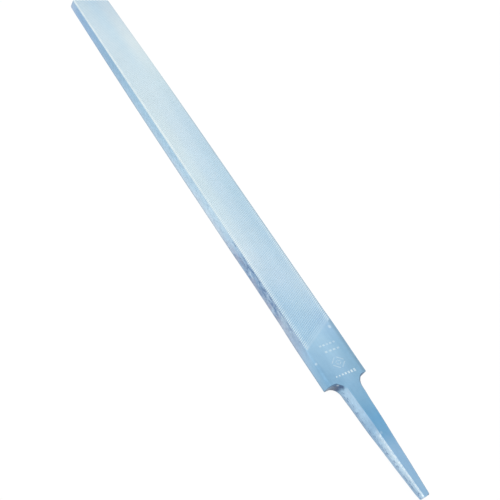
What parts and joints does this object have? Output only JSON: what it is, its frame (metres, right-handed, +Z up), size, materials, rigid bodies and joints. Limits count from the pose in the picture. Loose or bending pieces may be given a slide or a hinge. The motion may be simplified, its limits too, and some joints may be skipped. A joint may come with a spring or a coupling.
{
  "type": "flat file",
  "caption": "Bare flat file for metalwork: a long flat steel blade with cross-cut teeth on its faces, a plain heel, square shoulders and a tapering tang for a push-on handle.",
  "frame": {"origin": "centre of the overall length and width, on the surface that the file rests on", "axes": "+X from the tip to the tang, +Y across the blade away from the smooth safe edge, +Z up, out of the upper cut face"},
  "size_m": [0.3086, 0.024, 0.0055],
  "materials": {
    "file_steel": "hardened carbon steel, ground and cut faces, pale blue-grey, satin; bluer and more mottled on the safe edge, heel and tang"
  },
  "bodies": {
    "root": {"blade_with_tang": "file_steel"}
  },
  "joints": []
}
